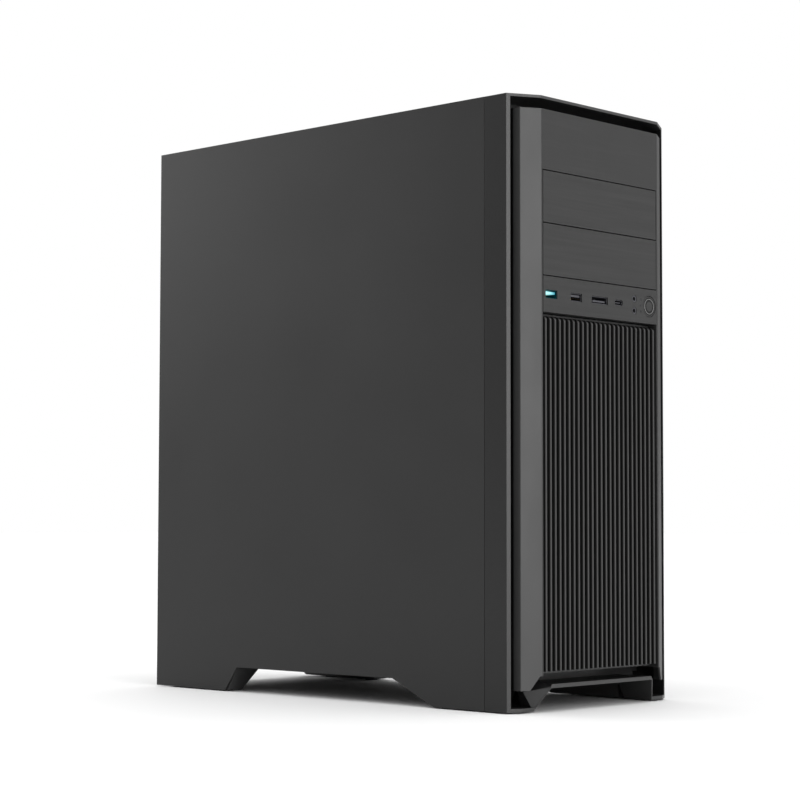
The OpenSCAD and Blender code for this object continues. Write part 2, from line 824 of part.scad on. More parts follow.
// A fan rotor with its axis along +Z, its hub from z = 0 up
module fan_rotor(r_hub, r_tip, height, blades, shaft_len) {
    difference() {
        cylinder(r = r_hub, h = height, $fn = 64);
        translate([0, 0, -1]) cylinder(r = r_hub - 1.5, h = height - 2, $fn = 48);
    }
    translate([0, 0, -shaft_len]) cylinder(r = 2, h = shaft_len + height - 2, $fn = 32);
    for (i = [0 : blades - 1]) rotate(i * 360 / blades)
        translate([0, 0, 1.5]) fan_blade(r_hub - 0.6, r_tip, height - 3, 38);
}

duct_r = 57.5;
hub_r = 20;
rotor_h = 19;
rotor_z = 4.4;

module intake_fan(z) {
    translate([0, y_chassis_front + sheet_t + fan_t, z]) rotate([90, 0, 0]) children();
}

module intake_fan_frame_upper() {
    color("black") intake_fan(intake_z[1]) fan_housing(fan_size, fan_t, duct_r, fan_hole, hub_r);
}

module intake_fan_frame_lower() {
    color("black") intake_fan(intake_z[0]) fan_housing(fan_size, fan_t, duct_r, fan_hole, hub_r);
}

module case_fan_rotor() {
    translate([0, 0, rotor_z]) fan_rotor(hub_r, duct_r - 1.5, rotor_h, 7, rotor_z - 1.4);
}

module intake_fan_rotor_upper() {
    color("dimgray") intake_fan(intake_z[1]) case_fan_rotor();
}

module intake_fan_rotor_lower() {
    color("dimgray") intake_fan(intake_z[0]) case_fan_rotor();
}

module rear_fan() {
    translate([rear_fan_x, y_rear_panel, rear_fan_z]) rotate([90, 0, 0]) children();
}

module rear_fan_frame() {
    color("black") rear_fan() fan_housing(fan_size, fan_t, duct_r, fan_hole, hub_r);
}

module rear_fan_rotor() {
    color("dimgray") rear_fan() case_fan_rotor();
}

// A finger guard of flat wire, axis along +Z, centred on z = 0
module wire_guard(r_outer, rings, wire, hole_offset) {
    translate([0, 0, -wire / 2]) linear_extrude(wire) {
        for (i = [1 : rings]) difference() {
            circle(r_outer * i / rings + wire / 2, $fn = 64);
            circle(r_outer * i / rings - wire / 2, $fn = 64);
        }
        difference() {
            union() {
                for (a = [45, 135]) rotate(a) square([2 * hole_offset * sqrt(2), wire], center = true);
                for (x = [-1, 1], y = [-1, 1])
                    translate([x * hole_offset, y * hole_offset]) circle(d = 7.4);
            }
            circle(r_outer / rings, $fn = 64);
            for (x = [-1, 1], y = [-1, 1])
                translate([x * hole_offset, y * hole_offset]) circle(d = 4.4);
        }
    }
}

// Power supply ------------------------------------------------------------------------

inlet_x = -50;
inlet_z = psu_z + 38;
rocker_x = -50;
rocker_z = psu_z + 66;
rocker_w = 10;
rocker_h = 15;

function psu_screw_points() = [[-69, psu_z + 6], [-69, psu_z + 74], [69, psu_z + 16], [69, psu_z + 80]];

module psu_housing() {
    y0 = psu_front_y;
    y1 = y_rear_panel;
    w = psu_half_w;
    color([0.2, 0.2, 0.2]) difference() {
        box([-w, y0, psu_z], [w, y1, psu_z + psu_h]);
        box([-w + 1, y0 + 1, psu_z + 1], [w - 1, y1 - 1, psu_z + psu_h - 1]);
        translate([0, psu_fan_y, psu_z - 1]) cylinder(r = duct_r, h = 3, $fn = 96);
        for (x = [-1, 1], y = [-1, 1])
            translate([x * fan_hole, psu_fan_y + y * fan_hole, psu_z - 1])
                cylinder(d = 4.4, h = 3, $fn = 24);
        for (i = [0 : 10], j = [0 : 8])
            rod_y([-28 + i * 8.6 + (j % 2) * 4.3, y1 - 2, psu_z + 10 + j * 8.2], 7, 4, 6);
        box([inlet_x - 13.8, y1 - 2, inlet_z - 9.8], [inlet_x + 13.8, y1 + 1, rocker_z + 10.4]);
        for (p = psu_screw_points()) rod_y([p[0], y1 - 3, p[1]], 3.1, 4, 24);
        rod_y([62, y0 - 1, psu_z + 60], 16, 3);
    }
}

module psu_circuit_board() {
    z = psu_z + psu_h - 12;
    y0 = psu_front_y + 8;
    color("darkolivegreen") box([-66, y0, z], [66, y0 + 108, z + 1.6]);
    color("goldenrod") box([-16, y0 + 34, z - 30], [16, y0 + 62, z]);
    color("silver") both_sides() box([34, y0 + 10, z - 28], [38, y0 + 100, z]);
    color("navy") for (x = [-52, 52]) translate([x, y0 + 74, z - 26]) cylinder(d = 18, h = 26);
    color("silver") both_sides() for (y = [6, 102])
        translate([62, y0 + y, z + 1.6]) cylinder(d = 6, h = 12 - 2.6, $fn = 24);
}

module psu_fan() {
    translate([0, psu_fan_y, psu_z + 1]) children();
}

module psu_fan_frame() {
    color("black") psu_fan() translate([0, 0, fan_t]) rotate([180, 0, 0])
        fan_housing(fan_size, fan_t, duct_r, fan_hole, hub_r);
}

module psu_fan_rotor() {
    color("dimgray") psu_fan() translate([0, 0, fan_t]) rotate([180, 0, 0]) case_fan_rotor();
}

module psu_fan_guard() {
    color("silver") translate([0, psu_fan_y, psu_z - 0.9]) wire_guard(57, 6, 1.6, fan_hole);
}

rocker_y = y_rear_panel - 2.4;
pivot_r = 1.1;
pivot_len = 1.4;
switch_w = rocker_w + 4;
switch_h = rocker_h + 5.2;

// One moulded module: the mains inlet below and the frame of the rocker switch above
module psu_inlet() {
    color("black") {
        difference() {
            union() {
                translate([inlet_x, 0, inlet_z]) along_y(y_rear_panel - 22, 22) round_rect(27, 19, 2);
                translate([rocker_x, 0, rocker_z]) along_y(y_rear_panel - 12, 12)
                    square([switch_w, switch_h], center = true);
                translate([inlet_x, 0, (inlet_z + rocker_z) / 2]) along_y(y_rear_panel, 1.4)
                    round_rect(31, rocker_z - inlet_z + 23, 2);
            }
            translate([inlet_x, 0, inlet_z]) along_y(y_rear_panel - 16, 20) round_rect(23.4, 16, 3.5);
            translate([rocker_x, 0, rocker_z]) along_y(y_rear_panel - 10, 14)
                square([rocker_w + 0.8, rocker_h + 2.4], center = true);
            rod_x([rocker_x - rocker_w, rocker_y, rocker_z], 2 * pivot_r + 0.1, 2 * rocker_w, 32);
        }
        for (p = [[-7, -2], [0, 3], [7, -2]])
            box([inlet_x + p[0] - 1, y_rear_panel - 16.5, inlet_z + p[1] - 2.5],
                [inlet_x + p[0] + 1, y_rear_panel - 2, inlet_z + p[1] + 2.5]);
    }
}

// The rocker rests pressed at its top end, ready to swing over to its lower end
module psu_rocker() {
    color("black") {
        translate([0, rocker_y, rocker_z]) rotate([-12, 0, 0])
            along_x(rocker_x - rocker_w / 2, rocker_w)
                polygon([[3.6, -rocker_h / 2], [2.6, 0], [3.6, rocker_h / 2], [-1, rocker_h / 2],
                         [-5, 3.5], [-5, -3.5], [-1, -rocker_h / 2]]);
        rod_x([rocker_x - rocker_w / 2 - pivot_len, rocker_y, rocker_z],
              2 * pivot_r, rocker_w + 2 * pivot_len, 32);
    }
}

module psu_dust_filter() {
    y0 = psu_fan_y - 60;
    y1 = y_rear_panel + 1;
    z0 = pan_z - 3.4;
    color("black") {
        difference() {
            box([-filter_x, y0, z0], [filter_x, y1, z0 + 2.8]);
            for (i = [0 : 1], j = [0 : 1])
                translate([-filter_x + 6 + i * 63, y0 + 6 + j * 62, z0 - 1]) cube([57, 56, 5]);
        }
        box([-filter_x + 2, y0 + 2, z0 + 1.2], [filter_x - 2, y1 - 2, z0 + 1.6]);
        box([-14, y1 - eps, z0], [14, y_rear - 0.3, z0 + 2.8]);
    }
}

// Motherboard and what it carries ---------------------------------------------------

x16_z = slot_z0 + 5 * slot_pitch;
dimm_y = [board_y0 + 58, board_y0 + 72];

// A block on the board's face: y and z centre, size in Y and Z, height off the board
module on_board(y, z, w, h, height) {
    box([board_x - height, y - w / 2, z - h / 2], [board_x, y + w / 2, z + h / 2]);
}

module motherboard() {
    color("darkgreen") difference() {
        box([board_x, board_y0, board_z], [board_x + board_t, board_y1, board_z + board_h]);
        for (y = board_hole_y, z = board_hole_z)
            rod_x([board_x - 1, board_y1 - y, board_z + z], 3.6, 4);
    }
    color("black") {
        on_board(cpu_y, cpu_z, 46, 46, 3.4);
        for (y = dimm_y) on_board(y, cpu_z, 7, 142, 8);
        on_board(board_y0 + 6, cpu_z - 14, 9, 52, 12);
        for (i = [0 : 2]) on_board(board_y0 + 8, board_z + 62 + i * 14, 16, 10, 11);
        for (i = [1, 3, 5])
            on_board(board_y1 - 92, slot_z0 + i * slot_pitch, i == 5 ? 90 : 26, 7.4, 11);
    }
    color("silver") {
        on_board(board_y0 + 70, board_z + 84, 40, 40, 9);
        on_board(cpu_y + 60, cpu_z + 6, 14, 84, 20);
        for (i = [0 : 5])
            rod_x([board_x - 10, cpu_y + 46, cpu_z - 36 + i * 14], 7, 10);
    }
}

module board_standoffs() {
    color("goldenrod") for (y = board_hole_y, z = board_hole_z)
        difference() {
            union() {
                rod_x([board_x + board_t, board_y1 - y, board_z + z], 6.4, tray_x - board_x - board_t, 6);
                rod_x([tray_x, board_y1 - y, board_z + z], 3, 3, 24);
            }
            rod_x([board_x + board_t - 1, board_y1 - y, board_z + z], 2.6, 6, 24);
        }
}

cpu_face_x = board_x - 3.4;

module processor() {
    translate([cpu_face_x, cpu_y, cpu_z]) {
        color("green") box([-1, -18.8, -18.8], [0, 18.8, 18.8]);
        color("silver") box([-2.8, -16, -16], [-1, 16, 16]);
    }
}

sink_x = [38, cpu_face_x - 2.8];
sink_r = 45;

module cooler_heatsink() {
    color("silver") {
        rod_x([sink_x[0], cpu_y, cpu_z], 34, sink_x[1] - sink_x[0], 64);
        translate([sink_x[0], cpu_y, cpu_z]) for (i = [0 : 35]) rotate([i * 10, 0, 0])
            translate([0, 16, -0.5]) cube([24, sink_r - 16, 1]);
    }
}

cooler_fan_x = 14;

module cooler_fan() {
    translate([cooler_fan_x, cpu_y, cpu_z]) rotate([0, 90, 0]) children();
}

module cooler_fan_frame() {
    leg_r = 51;
    color("black") {
        cooler_fan() {
            difference() {
                cylinder(r = 48, h = sink_x[0] - cooler_fan_x - 0.2, $fn = 96);
                translate([0, 0, -1]) cylinder(r = 45.5, h = 40, $fn = 96);
            }
            difference() {
                union() {
                    for (a = [15, 75, 135]) rotate(a) translate([-46, -2, 0]) cube([92, 4, 2.2]);
                    cylinder(r = 17, h = 2.2, $fn = 48);
                }
                translate([0, 0, 0.8]) cylinder(r = 2.05, h = 3, $fn = 32);
            }
        }
        for (a = [45 : 90 : 315])
            translate([0, cpu_y + leg_r * cos(a), cpu_z + leg_r * sin(a)]) {
                rod_x([sink_x[0] - 6, 0, 0], 7, board_x - sink_x[0] + 6, 24);
                rod_x([sink_x[0] - 10, 0, 0], 8.4, 8, 24);
            }
    }
}

module cooler_fan_rotor() {
    color("dimgray") cooler_fan() translate([0, 0, 4]) fan_rotor(17, 44, 17, 7, 2.8);
}

module memory_modules() {
    for (y = dimm_y) {
        color("darkgreen")
            box([board_x - 36, y - 0.6, cpu_z - 66.6], [board_x - 8, y + 0.6, cpu_z + 66.6]);
        color("black") for (i = [0 : 7])
            box([board_x - 31, y + 0.6, cpu_z - 61 + i * 15.6],
                [board_x - 18, y + 1.7, cpu_z - 50 + i * 15.6]);
    }
}

// Rear connectors: height, how far each stands off the board, and its width across Z
shield_y = y_rear_panel - 1.2;
rear_port_gap = 0.4;
rear_port_list = [
    [441, 31, 14], [418, 16, 14.6], [398, 16, 14.6], [376, 12, 16],
    [352, 28, 16], [330, 16, 14.6], [309, 34, 12],
];

module io_shield() {
    color("silver") difference() {
        union() {
            box([io_x[0] - 3, shield_y, io_z[0] - 3], [board_x - 0.3, shield_y + 1, io_z[1] + 3]);
            box([io_x[0] + 0.5, shield_y + 1, io_z[0] + 0.5],
                [board_x - 0.3, shield_y + 1.8, io_z[1] - 0.5]);
        }
        for (p = rear_port_list)
            box([board_x - 1.4 - p[1] - rear_port_gap, shield_y - 1, p[0] - p[2] / 2 - rear_port_gap],
                [board_x - 1, shield_y + 3, p[0] + p[2] / 2 + rear_port_gap]);
    }
}

module rear_ports() {
    y1 = y_rear_panel + 1.6;
    for (p = rear_port_list) {
        x0 = board_x - 1.4 - p[1];
        color("silver") difference() {
            box([x0, y1 - 20, p[0] - p[2] / 2], [board_x - 1.4, y1, p[0] + p[2] / 2]);
            box([x0 + 1.4, y1 - 12, p[0] - p[2] / 2 + 1.4], [board_x - 2.8, y1 + 1, p[0] + p[2] / 2 - 1.4]);
        }
        color("black")
            box([x0 + 3, y1 - 12.4, p[0] - 1], [board_x - 4.4, y1 - 1.5, p[0] + 1]);
    }
    color("black") for (p = rear_port_list)
        box([board_x - 1.4, y1 - 20, p[0] - p[2] / 2 + 1], [board_x, y1 - 5, p[0] + p[2] / 2 - 1]);
}

module slot_covers() {
    y1 = y_rear_panel - 0.1;
    color("darkgray") for (i = [0 : slot_count - 1]) {
        z = slot_z0 + i * slot_pitch;
        difference() {
            union() {
                box([-46, y1 - 0.9, z - 9.2], [72, y1, z + 9.2]);
                box([-46, y1 - 11, z - 9.2], [-45, y1 - 0.9 + eps, z + 9.2]);
            }
            for (j = [0 : 7]) translate([-26 + j * 11, 0, z]) along_y(y1 - 3, 5) round_rect(7, 5, 2);
            translate([-50, y1 - 6.4, z]) rotate([0, 90, 0]) cylinder(d = 4, h = 10, $fn = 24);
        }
    }
}

// Fasteners: a pan head with a cross recess, head outwards along +Z, shaft along -Z
module screw(head_d, head_h, shaft_d, length) {
    difference() {
        cylinder(d = head_d, h = head_h, $fn = 32);
        for (a = [0, 90]) rotate(a)
            translate([-head_d * 0.3, -0.4, head_h * 0.45]) cube([head_d * 0.6, 0.8, 4]);
    }
    translate([0, 0, -length]) cylinder(d = shaft_d, h = length + eps, $fn = 24);
}

module case_screws() {
    color("silver") {
        for (y = board_hole_y, z = board_hole_z)
            translate([board_x, board_y1 - y, board_z + z]) rotate([0, -90, 0]) screw(6, 2, 2.5, 4);
        for (p = psu_screw_points())
            translate([p[0], y_rear_panel + sheet_t, p[1]]) rotate([-90, 0, 0]) screw(6.4, 0.45, 3, 4);
        for (p = foot_screw_points()) translate([p[0], p[1], pan_top]) screw(7, 2.2, 3, 10);
    }
}

// Wiring --------------------------------------------------------------------------------

// Hand-chosen points of each lead's centre line
power_path = [
    [62, 74.5, 86], [62, 60, 87], [62, 46, 92], [61, 32, 108], [58, 18, 134], [56, 8, 168],
    [56, 0, 204], [56, -6, 244], [54, -10, 284], [48, -16, 322], [40, -22, 348], [37, -25, 364],
    [42, -25.4, 374], [50.4, -25.4, 375],
];
panel_path = [
    [22, -197.8, 329], [22, -188, 331], [22, -176, 332], [26, -150, 334], [34, -120, 335],
    [44, -90, 330], [54, -66, 314], [62, -50, 288], [66, -42, 250], [68, -38, 214], [69, -34, 186],
    [68, -26, 160], [66, -8, 152], [66, 8, 158], [67, 12, 167],
];

function unit(v) = v / norm(v);
function heading(path, i) = unit(path[min(i + 1, len(path) - 1)] - path[max(i - 1, 0)]);
function ring_point(c, h, r, a) =
    let (side = unit(cross(h, [0.13, 0.05, 0.99])), up = cross(side, h))
    c + r * (cos(a) * side + sin(a) * up);

// A closed tube that follows a list of points
module tube(path, d, sides = 10) {
    n = len(path);
    rings = [for (i = [0 : n - 1], k = [0 : sides - 1])
             ring_point(path[i], heading(path, i), d / 2, 360 * k / sides)];
    walls = [for (i = [0 : n - 2], k = [0 : sides - 1]) let (a = i * sides, next = (k + 1) % sides)
             [a + k, a + next, a + sides + next, a + sides + k]];
    first_cap = [for (k = [sides - 1 : -1 : 0]) k];
    last_cap = [for (k = [0 : sides - 1]) (n - 1) * sides + k];
    polyhedron(rings, concat(walls, [first_cap, last_cap]), convexity = 6);
}

module power_lead() {
    color([0.1, 0.1, 0.1]) tube(power_path, 11);
    color("black")
        box([board_x - 26, board_y0 + 1.6, cpu_z - 39.6], [board_x - 12.2, board_y0 + 10.4, cpu_z + 11.6]);
}

module panel_lead() {
    color([0.1, 0.1, 0.1]) tube(panel_path, 5, 8);
    color("black") box([board_x - 12, 8, board_z + 4], [board_x - 5, 16, board_z + 14]);
}

// Assembly --------------------------------------------------------------------------------

chassis_base_pan();
chassis_front_panel();
chassis_rear_panel();
chassis_top_panel();
motherboard_tray();
chassis_feet();
foot_pads();
left_side_panel();
right_side_panel();
thumb_screws_left();
thumb_screws_right();
bezel_frame();
bezel_surround();
front_grille();
front_dust_filter();
bay_cover_upper();
bay_cover_lower();
io_panel();
usb_port_lit();
usb_light_bar();
usb_port_plain();
card_reader();
usb_c_port();
audio_jacks();
status_light_pipes();
power_button();
front_io_board();
optical_bay_cage();
drive_cage();
drive_tray_upper();
drive_tray_lower();
solid_state_drive();
hard_drive();
intake_fan_frame_upper();
intake_fan_frame_lower();
intake_fan_rotor_upper();
intake_fan_rotor_lower();
rear_fan_frame();
rear_fan_rotor();
psu_housing();
psu_circuit_board();
psu_fan_frame();
psu_fan_rotor();
psu_fan_guard();
psu_inlet();
psu_rocker();
psu_dust_filter();
motherboard();
board_standoffs();
processor();
cooler_heatsink();
cooler_fan_frame();
cooler_fan_rotor();
memory_modules();
io_shield();
rear_ports();
slot_covers();
case_screws();
power_lead();
panel_lead();
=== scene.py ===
import json
import math

import bmesh
import bpy
from mathutils import Matrix, Vector


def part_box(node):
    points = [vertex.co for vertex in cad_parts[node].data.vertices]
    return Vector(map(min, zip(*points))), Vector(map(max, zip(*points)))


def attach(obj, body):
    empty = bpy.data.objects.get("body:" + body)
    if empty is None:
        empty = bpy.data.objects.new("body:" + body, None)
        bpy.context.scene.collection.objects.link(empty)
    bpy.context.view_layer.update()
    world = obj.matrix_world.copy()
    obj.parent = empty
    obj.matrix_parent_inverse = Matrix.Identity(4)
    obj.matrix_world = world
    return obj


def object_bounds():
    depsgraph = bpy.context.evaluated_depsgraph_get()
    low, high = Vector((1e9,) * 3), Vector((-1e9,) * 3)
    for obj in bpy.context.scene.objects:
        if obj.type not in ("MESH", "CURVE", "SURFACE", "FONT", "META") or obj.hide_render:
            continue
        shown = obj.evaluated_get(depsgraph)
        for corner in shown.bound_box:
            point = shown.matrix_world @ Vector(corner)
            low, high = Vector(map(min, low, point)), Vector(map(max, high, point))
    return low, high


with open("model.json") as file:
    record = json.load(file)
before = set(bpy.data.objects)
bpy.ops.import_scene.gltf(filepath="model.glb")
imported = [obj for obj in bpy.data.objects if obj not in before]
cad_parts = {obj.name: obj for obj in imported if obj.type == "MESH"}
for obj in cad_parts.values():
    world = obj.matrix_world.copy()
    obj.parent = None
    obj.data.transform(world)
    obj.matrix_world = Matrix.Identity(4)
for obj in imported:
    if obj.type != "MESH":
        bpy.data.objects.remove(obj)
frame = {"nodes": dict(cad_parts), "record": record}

MM = 0.001
CAD_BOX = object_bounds()

# The photograph's viewpoint, in the row frame: metres, degrees, and millimetres for the lens and sensor
CAMERA_AT = Vector((-1.3767, -1.2962, 0.1478))
CAMERA_YAW = 46.561
CAMERA_PITCH = 3.385
CAMERA_ROLL = 0.11
CAMERA_LENS = 95.43
SENSOR = 36.0

# The nodes and pieces whose finish isn't that of the rest of their slot
OWN_FINISHES = {
    # The lit port's shell is tinted teal as painted light from its lamp.
    "usb_port_lit": "glow_tinted_shell",
    # The power button's two dark bands are painted shade.
    "power_button_outer_shade": "shadow_plastic",
    "power_button_inner_shade": "shadow_plastic",
}

# Half the width of the brushed field between the front's two angled strips
BRUSHED_HALF_WIDTH = 77.2 * MM
# How far behind the front the painted shade in the recess round the raised surround turns it black
RECESS_SHADE_DEPTH = 16.3 * MM

BACKGROUND = (1.0, 1.0, 1.0)
HORIZON_LIGHT = 0.1
ZENITH_LIGHT = 1.75

# Nearly all of a noise pattern's values lie between these
NOISE_LOW = 0.3
NOISE_HIGH = 0.7
# How far the brushed field and the painted shade in the recess fade out on either side of their edges
FIELD_BLUR = 0.2 * MM
RECESS_SHADE_BLUR = 0.3 * MM
# A surface faces forward fully, or not at all, where its normal's Y is at these
FULLY_FORWARD = -0.95
NOT_FORWARD = -0.6

# In degrees: edges that turn more than the first are rounded, and faces that turn less than the second merge
SHARP_ANGLE = 20
FLAT_ANGLE = 0.5
ROUNDING_STEPS = 2
# Corners nearer to each other than this are one corner
WELD_DISTANCE = 0.001 * MM


# Small helpers ---------------------------------------------------------------------------

def linear(*srgb):
    """A colour given as sRGB values from 0 to 1, as the linear values that Blender shades with."""
    return tuple(c / 12.92 if c <= 0.04045 else ((c + 0.055) / 1.055) ** 2.4 for c in srgb)


def grey(level):
    """A neutral grey from its sRGB level."""
    return linear(level, level, level)


class Finish:
    """A material made of nodes: a Principled shader fed by patterns in the object's own space."""

    def __init__(self, name, colour, roughness, metallic=0.0, specular=0.5):
        self.material = bpy.data.materials.new(name)
        self.material.use_nodes = True
        self.tree = self.material.node_tree
        self.shader = self.tree.nodes["Principled BSDF"]
        self.colour = colour
        self.roughness = roughness
        self.shader.inputs["Base Color"].default_value = (*colour, 1)
        self.shader.inputs["Roughness"].default_value = roughness
        self.shader.inputs["Metallic"].default_value = metallic
        self.shader.inputs["Specular IOR Level"].default_value = specular

    def feed(self, socket, value):
        """Gives a socket another node's output, or a plain value."""
        if isinstance(value, bpy.types.NodeSocket):
            self.tree.links.new(value, socket)
        else:
            socket.default_value = value

    def node(self, kind, settings=None, **inputs):
        """Adds a node. Settings are its properties, and inputs are values or other nodes' outputs."""
        made = self.tree.nodes.new(kind)
        for key, value in (settings or {}).items():
            setattr(made, key, value)
        for key, value in inputs.items():
            self.feed(made.inputs[key.replace("_", " ")], value)
        return made

    def place(self, scale=(1, 1, 1)):
        """The object's own coordinates, in metres, times the scale."""
        where = self.node("ShaderNodeTexCoord").outputs["Object"]
        if scale == (1, 1, 1):
            return where
        return self.node("ShaderNodeMapping", Vector=where, Scale=scale).outputs["Vector"]

    def noise(self, per_metre, detail=2.0, stretch=(1, 1, 1), roughness=0.5):
        """Noise from 0 to 1, with about per_metre lumps to the metre, times the stretch on each axis."""
        scale = tuple(per_metre * s for s in stretch)
        made = self.node("ShaderNodeTexNoise", Vector=self.place(scale), Scale=1.0, Detail=detail,
                         Roughness=roughness)
        return made.outputs["Fac"]

    def cells(self, per_metre, feature="F1"):
        """The distance to the nearest point of a cell pattern, or to the nearest edge of a cell."""
        made = self.node("ShaderNodeTexVoronoi", {"feature": feature},
                         Vector=self.place((per_metre,) * 3), Scale=1.0)
        return made.outputs["Distance"]

    def coordinate(self, axis):
        """The object's own X, Y or Z."""
        return self.node("ShaderNodeSeparateXYZ", Vector=self.place()).outputs[axis]

    def facing_front(self):
        """1 where the surface faces the front of the tower, 0 where it faces sideways."""
        normal = self.node("ShaderNodeTexCoord").outputs["Normal"]
        parts = self.node("ShaderNodeSeparateXYZ", Vector=normal)
        return self.ranged(parts.outputs["Y"], 1, 0, FULLY_FORWARD, NOT_FORWARD)

    def within_x(self, half_width):
        """1 nearer than the half width to the middle of the tower, 0 outside it."""
        side = self.calculated("ABSOLUTE", self.coordinate("X"))
        return self.ranged(side, 1, 0, half_width - FIELD_BLUR, half_width + FIELD_BLUR)

    def behind_front(self, depth):
        """0 on the tower's front, 1 further back from it than the depth."""
        edge = CAD_BOX[0][1] + depth
        return self.ranged(self.coordinate("Y"), 0, 1, edge - RECESS_SHADE_BLUR, edge + RECESS_SHADE_BLUR)

    def ranged(self, value, low, high, from_low=NOISE_LOW, from_high=NOISE_HIGH):
        """The value carried from one range into another."""
        made = self.node("ShaderNodeMapRange", Value=value)
        made.inputs["From Min"].default_value = from_low
        made.inputs["From Max"].default_value = from_high
        made.inputs["To Min"].default_value = low
        made.inputs["To Max"].default_value = high
        return made.outputs["Result"]

    def calculated(self, operation, *values):
        """A Math node's result. Each value is another node's output or a number."""
        made = self.node("ShaderNodeMath", {"operation": operation})
        for socket, value in zip(made.inputs, values):
            self.feed(socket, value)
        return made.outputs["Value"]

    def sum_of(self, first, second):
        """Two values added."""
        return self.calculated("ADD", first, second)

    def product_of(self, first, second):
        """Two values multiplied."""
        return self.calculated("MULTIPLY", first, second)

    def tint(self, value, spread):
        """Varies the colour by the spread, up and down, as the value goes from NOISE_LOW to NOISE_HIGH."""
        low = tuple(c * (1 - spread) for c in self.colour)
        high = tuple(min(c * (1 + spread), 1) for c in self.colour)
        self.blend_colours(self.ranged(value, 0, 1), low, high)

    def between(self, share, low, high):
        """A colour that goes from low to high as the share goes from 0 to 1. Low may be a node's output."""
        made = self.node("ShaderNodeMix", {"data_type": "RGBA"})
        mix_share, mix_low, mix_high = made.inputs[0], made.inputs[6], made.inputs[7]
        self.feed(mix_share, share)
        self.feed(mix_low, low if isinstance(low, bpy.types.NodeSocket) else (*low, 1))
        self.feed(mix_high, (*high, 1))
        return made.outputs[2]

    def blend_colours(self, share, low, high):
        """The base colour goes from low to high as the share goes from 0 to 1."""
        self.feed(self.shader.inputs["Base Color"], self.between(share, low, high))

    def shade(self, share):
        """Takes the base colour that is already there down to black as the share goes from 0 to 1."""
        present = self.shader.inputs["Base Color"].links[0].from_socket
        self.blend_colours(share, present, (0, 0, 0))

    def rough(self, value, spread):
        """Varies the roughness by the spread, up and down."""
        result = self.ranged(value, self.roughness - spread, self.roughness + spread)
        self.feed(self.shader.inputs["Roughness"], result)

    def bump(self, height, depth):
        """Adds relief of that depth in metres."""
        made = self.node("ShaderNodeBump", Height=height, Distance=depth, Strength=1.0)
        self.feed(self.shader.inputs["Normal"], made.outputs["Normal"])


# Materials --------------------------------------------------------------------------------

def powder_coat(name, colour, roughness):
    """Painted sheet steel: a fine orange-peel texture, with faint broad changes in gloss."""
    finish = Finish(name, colour, roughness, specular=0.35)
    broad = finish.noise(9, detail=3)
    fine = finish.noise(5200, detail=1)
    finish.tint(finish.sum_of(finish.product_of(broad, 0.6), finish.product_of(fine, 0.4)), spread=0.07)
    finish.rough(broad, spread=0.03)
    finish.bump(finish.noise(1500, detail=2), depth=0.06 * MM)
    return finish.material


def spark_plastic(name, colour, roughness):
    """Moulded plastic with the fine even grain of a spark-eroded tool."""
    finish = Finish(name, colour, roughness)
    grain = finish.noise(3400, detail=3)
    finish.tint(finish.noise(14, detail=4), spread=0.04)
    finish.rough(grain, spread=0.08)
    finish.bump(grain, depth=0.05 * MM)
    return finish.material


def rim_plastic(name, colour, highlight_colour, roughness):
    """Moulded plastic in one colour, with a paler painted highlight on the faces that look forward."""
    finish = Finish(name, colour, roughness, specular=0.35)
    grain = finish.noise(3400, detail=3)
    mottle = finish.ranged(finish.noise(14, detail=4), 0.95, 1.05)
    # Painted highlight: forward-facing faces, such as the bezel rim's front, take the paler colour.
    finish.blend_colours(finish.product_of(finish.facing_front(), mottle), colour, highlight_colour)
    finish.rough(grain, spread=0.08)
    finish.bump(grain, depth=0.03 * MM)
    return finish.material


def brush_lines(finish):
    """Fine lines along X, as on a brushed metal front: the lines alone, and mixed with broad streaks."""
    lines = finish.noise(1, detail=4, stretch=(14, 160, 2600), roughness=0.6)
    streaks = finish.noise(1, detail=2, stretch=(12, 60, 420))
    return lines, finish.sum_of(finish.product_of(lines, 0.45), finish.product_of(streaks, 0.55))


def brushed_plastic(name, colour, roughness):
    """Plastic with a brushed face."""
    finish = Finish(name, colour, roughness)
    lines, mixed = brush_lines(finish)
    finish.tint(mixed, spread=0.3)
    finish.rough(lines, spread=0.1)
    finish.bump(lines, depth=0.04 * MM)
    return finish.material


def surround_plastic(name, colour, brushed_colour, roughness):
    """Satin side strips with a brushed field between them, and painted shade that turns the surround black
    deep in the bezel's recess.
    """
    finish = Finish(name, colour, roughness)
    field = finish.within_x(BRUSHED_HALF_WIDTH)
    lines, mixed = brush_lines(finish)
    share = finish.product_of(field, finish.ranged(mixed, 0.65, 1.35))
    finish.blend_colours(share, colour, brushed_colour)
    # Painted shade: further back than the recess depth, the surround is taken to black as shade in the
    # bezel's recess.
    finish.shade(finish.behind_front(RECESS_SHADE_DEPTH))
    finish.rough(finish.noise(30, detail=3, stretch=(1, 1, 0.4)), spread=0.05)
    finish.bump(finish.product_of(lines, field), depth=0.04 * MM)
    return finish.material


def grille_plastic(name, colour, shadow_colour, roughness):
    """Slats with a satin front face, and sides painted near-black as shade in the gaps between the slats."""
    finish = Finish(name, colour, roughness, specular=0.3)
    front = finish.facing_front()
    flow = finish.ranged(finish.noise(30, detail=3, stretch=(1, 1, 0.2)), 0.9, 1.1)
    # Painted shade: faces that turn sideways into the gaps between slats take the near-black shadow colour.
    finish.blend_colours(finish.product_of(front, flow), shadow_colour, colour)
    finish.feed(finish.shader.inputs["Roughness"], finish.ranged(front, 0.9, roughness, 0, 1))
    finish.bump(finish.noise(2200, detail=2), depth=0.02 * MM)
    return finish.material


